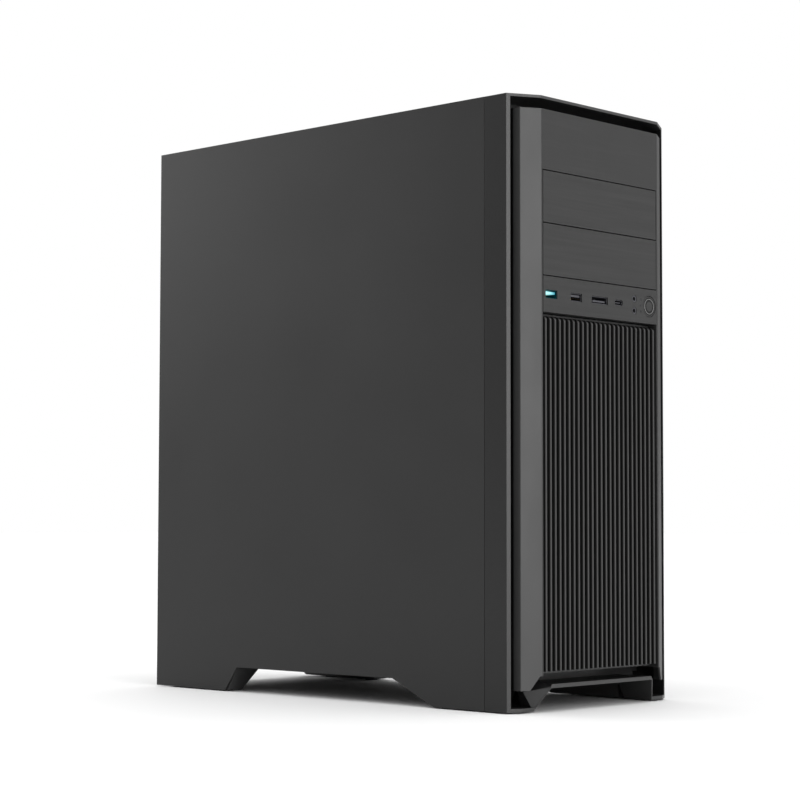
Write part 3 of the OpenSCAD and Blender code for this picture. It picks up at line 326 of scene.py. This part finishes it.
def satin_plastic(name, colour, roughness):
    """Smooth moulded plastic with a slight flow pattern in its gloss."""
    finish = Finish(name, colour, roughness)
    flow = finish.noise(30, detail=3, stretch=(1, 1, 0.4))
    finish.tint(flow, spread=0.05)
    finish.rough(flow, spread=0.05)
    finish.bump(finish.noise(2200, detail=2), depth=0.02 * MM)
    return finish.material


def rubber(name, colour):
    """Matt rubber with a slightly pitted skin."""
    finish = Finish(name, colour, 0.85, specular=0.3)
    pits = finish.cells(2400)
    finish.tint(finish.noise(400), spread=0.15)
    finish.rough(pits, spread=0.06)
    finish.bump(pits, depth=0.06 * MM)
    return finish.material


def plated_metal(name, colour, roughness, stretch=(1, 1, 1)):
    """Plated or machined metal with a fine grain, which the stretch draws out into lines."""
    finish = Finish(name, colour, roughness, metallic=1.0)
    lines = finish.noise(900, detail=4, stretch=stretch)
    finish.tint(finish.noise(60, detail=4), spread=0.04)
    finish.rough(lines, spread=0.08)
    finish.bump(lines, depth=0.02 * MM)
    return finish.material


def cast_metal(name, colour):
    """A blasted casting with a fine rough skin."""
    finish = Finish(name, colour, 0.5, metallic=1.0)
    skin = finish.noise(1800, detail=5)
    finish.tint(skin, spread=0.12)
    finish.rough(skin, spread=0.1)
    finish.bump(skin, depth=0.08 * MM)
    return finish.material


def solder_mask(name, colour):
    """Board laminate under green lacquer, with tracks that show through as paler lines."""
    finish = Finish(name, colour, 0.35)
    tracks = finish.cells(160, feature="DISTANCE_TO_EDGE")
    share = finish.ranged(tracks, 1, 0, 0.02, 0.06)
    finish.blend_colours(share, colour, tuple(c * 1.9 for c in colour))
    finish.bump(share, depth=0.04 * MM)
    return finish.material


def clear_plastic(name, colour):
    """A glossy light pipe: clear plastic, slightly milky."""
    finish = Finish(name, colour, 0.15)
    finish.shader.inputs["Transmission Weight"].default_value = 0.5
    milk = finish.noise(700)
    finish.tint(milk, spread=0.06)
    finish.rough(milk, spread=0.05)
    return finish.material


def lit_plastic(name, colour, core_colour, span):
    """The tongue of the lit port: translucent plastic, nearly white beside the lamp at its low-X end."""
    finish = Finish(name, colour, 0.3)
    finish.tint(finish.noise(500), spread=0.1)
    glow = finish.between(finish.ranged(finish.coordinate("X"), 0, 1, *span), core_colour, colour)
    finish.feed(finish.shader.inputs["Emission Color"], glow)
    finish.shader.inputs["Emission Strength"].default_value = 1.1
    return finish.material


def braided_sleeve(name, colour):
    """Expanding sleeve over a bundle of wires, with small cells for its weave."""
    finish = Finish(name, colour, 0.7)
    weave = finish.cells(1100)
    finish.tint(weave, spread=0.3)
    finish.rough(weave, spread=0.08)
    finish.bump(weave, depth=0.2 * MM)
    return finish.material


def make_materials():
    """Every material, by the name of the record's slot that it finishes, or its own in OWN_FINISHES."""
    lamp_low, lamp_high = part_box("usb_light_bar")
    return {
        "panel_paint": powder_coat("panel_paint", grey(0.12), 0.42),
        "chassis_steel": powder_coat("chassis_steel", grey(0.16), 0.42),
        "bezel_plastic": rim_plastic("bezel_plastic", grey(0.1), grey(0.24), 0.34),
        "surround_plastic": surround_plastic("surround_plastic", grey(0.22), grey(0.15), 0.48),
        "cover_plastic": brushed_plastic("cover_plastic", grey(0.155), 0.42),
        "grille_plastic": grille_plastic("grille_plastic", grey(0.25), grey(0.01), 0.36),
        "black_plastic": spark_plastic("black_plastic", grey(0.17), 0.5),
        "shadow_plastic": rim_plastic("shadow_plastic", grey(0.03), grey(0.06), 0.7),
        "rotor_plastic": satin_plastic("rotor_plastic", grey(0.14), 0.35),
        "foot_rubber": rubber("foot_rubber", grey(0.1)),
        "zinc_steel": plated_metal("zinc_steel", grey(0.6), 0.4),
        "connector_shell": plated_metal("connector_shell", linear(0.4, 0.4, 0.42), 0.42),
        "fin_aluminium": plated_metal("fin_aluminium", linear(0.86, 0.87, 0.88), 0.3, (0.1, 1, 1)),
        "board_laminate": solder_mask("board_laminate", linear(0.05, 0.2, 0.11)),
        "drive_casting": cast_metal("drive_casting", grey(0.74)),
        "brass": plated_metal("brass", linear(0.82, 0.68, 0.38), 0.3),
        "light_pipe": clear_plastic("light_pipe", linear(0.2, 0.21, 0.22)),
        # Painted light: the lit port's metal shell is tinted teal for the lamp's glow falling on it.
        "glow_tinted_shell": plated_metal("glow_tinted_shell", linear(0.08, 0.3, 0.33), 0.5),
        "lit_plastic": lit_plastic("lit_plastic", linear(0.03, 0.42, 0.48), linear(0.75, 1.0, 1.0),
                                   (lamp_low[0] + 3 * MM, lamp_high[0])),
        "wire_sleeve": braided_sleeve("wire_sleeve", grey(0.12)),
    }


def slot_of_nodes():
    """Each CAD node's material slot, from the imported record."""
    return {part["node"]: part["material_slot"] for part in frame["record"]["subparts"]}


# Stage ---------------------------------------------------------------------------------------

def make_camera():
    """The camera, where the fit to the photograph puts it."""
    yaw = math.radians(CAMERA_YAW)
    pitch = math.radians(CAMERA_PITCH)
    forward = Vector((math.sin(yaw) * math.cos(pitch), math.cos(yaw) * math.cos(pitch), math.sin(pitch)))
    right = Vector((math.cos(yaw), -math.sin(yaw), 0))
    up = right.cross(forward)
    turn = Matrix.Rotation(math.radians(CAMERA_ROLL), 3, -forward)
    right = turn @ right
    up = turn @ up
    data = bpy.data.cameras.new("photo_view")
    data.sensor_width = SENSOR
    data.lens = CAMERA_LENS
    camera = bpy.data.objects.new("photo_view", data)
    camera.matrix_world = Matrix((
        (right.x, up.x, -forward.x, CAMERA_AT.x),
        (right.y, up.y, -forward.y, CAMERA_AT.y),
        (right.z, up.z, -forward.z, CAMERA_AT.z),
        (0, 0, 0, 1),
    ))
    bpy.context.scene.collection.objects.link(camera)
    bpy.context.scene.camera = camera


def make_floor():
    """A wide pale floor under the rubber pads."""
    half = 30.0
    corners = [(-half, -half, 0), (half, -half, 0), (half, half, 0), (-half, half, 0)]
    mesh = bpy.data.meshes.new("floor")
    mesh.from_pydata(corners, [], [(0, 1, 2, 3)])
    floor = bpy.data.objects.new("floor", mesh)
    bpy.context.scene.collection.objects.link(floor)
    finish = Finish("floor", grey(0.97), 0.6, specular=0.1)
    finish.tint(finish.noise(3), spread=0.01)
    mesh.materials.append(finish.material)


def add_light(name, at, towards, size, power):
    """A soft rectangular studio light, with its power in watts."""
    data = bpy.data.lights.new(name, "AREA")
    data.shape = "RECTANGLE"
    data.size, data.size_y = size
    data.energy = power
    light = bpy.data.objects.new(name, data)
    direction = Vector(towards) - Vector(at)
    light.matrix_world = Matrix.Translation(at) @ direction.to_track_quat("-Z", "Y").to_matrix().to_4x4()
    bpy.context.scene.collection.objects.link(light)


def make_surroundings():
    """A white backdrop for the camera, and a sky for lighting that grows brighter overhead."""
    world = bpy.data.worlds.new("studio")
    world.use_nodes = True
    tree = world.node_tree
    height = tree.nodes.new("ShaderNodeSeparateXYZ")
    tree.links.new(tree.nodes.new("ShaderNodeTexCoord").outputs["Generated"], height.inputs[0])
    strength = tree.nodes.new("ShaderNodeMapRange")
    strength.inputs["To Min"].default_value = HORIZON_LIGHT
    strength.inputs["To Max"].default_value = ZENITH_LIGHT
    tree.links.new(height.outputs["Z"], strength.inputs["Value"])
    lighting = tree.nodes["Background"]
    lighting.inputs["Color"].default_value = (*BACKGROUND, 1)
    tree.links.new(strength.outputs["Result"], lighting.inputs["Strength"])
    seen = tree.nodes.new("ShaderNodeBackground")
    seen.inputs["Color"].default_value = (*BACKGROUND, 1)
    choice = tree.nodes.new("ShaderNodeMixShader")
    rays = tree.nodes.new("ShaderNodeLightPath")
    tree.links.new(rays.outputs["Is Camera Ray"], choice.inputs["Fac"])
    tree.links.new(lighting.outputs["Background"], choice.inputs[1])
    tree.links.new(seen.outputs["Background"], choice.inputs[2])
    tree.links.new(choice.outputs["Shader"], tree.nodes["World Output"].inputs["Surface"])
    bpy.context.scene.world = world


def make_lights():
    """Soft lights: one in front for the strips and rim, one behind the left side, one at the right."""
    add_light("front_light", at=(-0.6, -2.6, 0.72), towards=(0, -0.2, 0.25), size=(1.0, 1.4), power=24)
    add_light("rear_left_light", at=(-0.75, 2.0, 0.9), towards=(-0.1, 0.1, 0.3), size=(0.9, 0.7), power=9.6)
    add_light("right_light", at=(2.0, -1.9, 0.9), towards=(0, -0.2, 0.3), size=(0.9, 1.2), power=2)


# Pieces ---------------------------------------------------------------------------------------

class Piece:
    """A new piece of the object: shapes gathered in one mesh, which rides on a body."""

    def __init__(self, name, slot, body="chassis"):
        self.name = name
        self.slot = slot
        self.body = body
        self.shapes = bmesh.new()

    def block(self, low, high):
        """A box between two corners."""
        low, high = Vector(low), Vector(high)
        place = Matrix.Translation((low + high) / 2) @ Matrix.Diagonal((*(high - low), 1))
        bmesh.ops.create_cube(self.shapes, size=1, matrix=place)

    def lathe(self, at, profile, sides=32, closed=False):
        """A turned shape whose axis runs from front to back through a point.

        The profile is pairs of radius and distance backwards from the point, in millimetres.
        """
        turn = Vector((0, 0, 1)).rotation_difference(Vector((0, 1, 0))).to_matrix()
        rings = []
        for radius, along in profile:
            angles = [2 * math.pi * i / sides for i in range(sides if radius else 1)]
            rings.append([self.shapes.verts.new(
                Vector(at) + turn @ Vector((radius * math.cos(a), radius * math.sin(a), along)) * MM)
                for a in angles])
        following = rings[1:] + ([rings[0]] if closed else [])
        for near, far in zip(rings, following):
            for i in range(sides):
                j = i + 1
                corners = [near[i % len(near)], near[j % len(near)], far[j % len(far)], far[i % len(far)]]
                self.shapes.faces.new(dict.fromkeys(corners))

    def finish(self, materials, bevel):
        """Turns the shapes into an object with rounded edges and its material."""
        bmesh.ops.recalc_face_normals(self.shapes, faces=self.shapes.faces)
        mesh = bpy.data.meshes.new(self.name)
        self.shapes.to_mesh(mesh)
        self.shapes.free()
        mesh.materials.append(materials[OWN_FINISHES.get(self.name, self.slot)])
        obj = bpy.data.objects.new(self.name, mesh)
        bpy.context.scene.collection.objects.link(obj)
        round_edges(obj, bevel)
        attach(obj, self.body)


def round_edges(obj, width):
    """Rounds the sharp edges, as on every moulded, folded or turned part."""
    obj.data.shade_smooth()
    bevel = obj.modifiers.new("bevel", "BEVEL")
    bevel.width = width
    bevel.segments = ROUNDING_STEPS
    bevel.limit_method = "ANGLE"
    bevel.angle_limit = math.radians(SHARP_ANGLE)
    bevel.harden_normals = True
    level = obj.modifiers.new("level", "WEIGHTED_NORMAL")
    level.keep_sharp = True


def centre_of(node):
    """The middle of a CAD node's box."""
    low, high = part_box(node)
    return (Vector(low) + Vector(high)) / 2


def make_port_contacts(materials):
    """Sprung contact blades under the tongue of each front USB port, each with a lower step at the back."""
    contacts = Piece("usb_contacts", "brass")
    front = CAD_BOX[0][1]
    count, pitch, half_width = 4, 2.5 * MM, 0.4 * MM
    back = front + 12 * MM
    for node in ("usb_port_lit", "usb_port_plain"):
        middle = centre_of(node)
        for i in range(count):
            x = middle.x + (i - (count - 1) / 2) * pitch
            for start, rise in ((7, 0), (8.5, -0.35)):
                contacts.block((x - half_width, front + start * MM, middle.z + (rise - 0.25) * MM),
                               (x + half_width, back, middle.z + (rise + 0.05) * MM))
    contacts.finish(materials, 0.05 * MM)


def make_jack_rings(materials):
    """A plated ring in the mouth of each audio jack, with three spring contacts behind it."""
    rings = Piece("jack_rings", "connector_shell")
    low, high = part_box("audio_jacks")
    x = (low[0] + high[0]) / 2
    jack_half = 4.2 * MM
    ring = [(1.75, -0.1), (2.6, -0.1), (2.6, -0.22), (2.3, -0.3), (1.95, -0.22), (1.75, 0.4)]
    spring = [(0, 0), (0.35, 0.3), (0.35, 3), (0, 3.3)]
    spring_radius, spring_depth = 1.6 * MM, 4 * MM
    for z in (low[2] + jack_half, high[2] - jack_half):
        rings.lathe((x, low[1], z), ring, closed=True)
        for angle in (90, 210, 330):
            side = Vector((math.cos(math.radians(angle)), 0, math.sin(math.radians(angle))))
            at = Vector((x, low[1] + spring_depth, z)) + side * spring_radius
            rings.lathe(at, spring, sides=10)
    rings.finish(materials, 0.04 * MM)


def make_button_trim(materials):
    """A bright ring in the power button's face, between two thin bands of painted shade, all on the button.
    """
    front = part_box("power_button")[0][1]
    centre = centre_of("power_button")
    at = (centre.x, front, centre.z)
    ring = [(5.9, 0.55), (5.9, 0.15), (6.05, -0.08), (6.4, -0.08), (6.52, 0.1), (6.52, 0.55)]
    outer_shade = [(6.6, 0.3), (6.6, -0.02), (7.7, -0.02), (7.7, 0.3)]
    inner_shade = [(4.1, 0.3), (4.1, -0.02), (5.8, -0.02), (5.8, 0.3)]
    # Painted shade: the two dark bands are flat rings in the shadow finish, laid on the button's face.
    for name, slot, profile, bevel in (
        ("power_button_ring", "zinc_steel", ring, 0.05),
        ("power_button_outer_shade", "black_plastic", outer_shade, 0.02),
        ("power_button_inner_shade", "black_plastic", inner_shade, 0.02),
    ):
        piece = Piece(name, slot, "power_button")
        piece.lathe(at, profile, sides=64, closed=True)
        piece.finish(materials, bevel * MM)


def make_rear_rivets(materials):
    """Domed rivets that join the rear panel to the tray, roof and pan."""
    rivets = Piece("rear_rivets", "zinc_steel")
    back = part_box("chassis_rear_panel")[1][1]
    dome = [(0, 0.9), (0.9, 0.8), (1.7, 0.45), (2.1, 0), (2.1, -0.2), (0, -0.2)]
    for x in (-86, 86):
        for z in (130, 305, 478):
            rivets.lathe((x * MM, back, z * MM), dome, sides=24)
    rivets.finish(materials, 0.05 * MM)


# Assembly --------------------------------------------------------------------------------------

# The rounding of each CAD node's sharp edges, in millimetres
EDGE_ROUNDING = {
    "left_side_panel": 0.5, "right_side_panel": 0.5, "bezel_frame": 1.2, "bezel_surround": 0.6,
    "bay_cover_upper": 0.35, "bay_cover_lower": 0.35, "io_panel": 0.35, "power_button": 0.5,
    "front_grille": 0.15, "chassis_feet": 0.8, "chassis_top_panel": 0.3, "thumb_screws_left": 0.25,
    "thumb_screws_right": 0.25, "usb_port_lit": 0.08, "usb_port_plain": 0.08, "card_reader": 0.08,
    "usb_c_port": 0.08, "usb_light_bar": 0.15, "foot_pads": 0.4, "rear_ports": 0.15,
    "psu_inlet": 0.4, "psu_rocker": 0.3,
}


def clean_mesh(obj):
    """Merges the triangles' doubled corners and flat neighbours, so that only true edges are left."""
    weld = obj.modifiers.new("weld", "WELD")
    weld.merge_threshold = WELD_DISTANCE
    flat = obj.modifiers.new("flat", "DECIMATE")
    flat.decimate_type = "DISSOLVE"
    flat.angle_limit = math.radians(FLAT_ANGLE)


def dress_nodes(materials):
    """Gives each CAD node its material, and rounds the edges of those in EDGE_ROUNDING."""
    for name, slot in slot_of_nodes().items():
        obj = frame["nodes"][name]
        obj.data.materials.clear()
        obj.data.materials.append(materials[OWN_FINISHES.get(name, slot)])
        if name in EDGE_ROUNDING:
            clean_mesh(obj)
            round_edges(obj, EDGE_ROUNDING[name] * MM)


def make_pieces(materials):
    """Makes every piece that the CAD doesn't have."""
    for make in (make_port_contacts, make_jack_rings, make_button_trim, make_rear_rivets):
        make(materials)


finishes = make_materials()
dress_nodes(finishes)
make_pieces(finishes)
make_camera()
make_floor()
make_surroundings()
make_lights()
bpy.context.scene.view_settings.view_transform = "Standard"
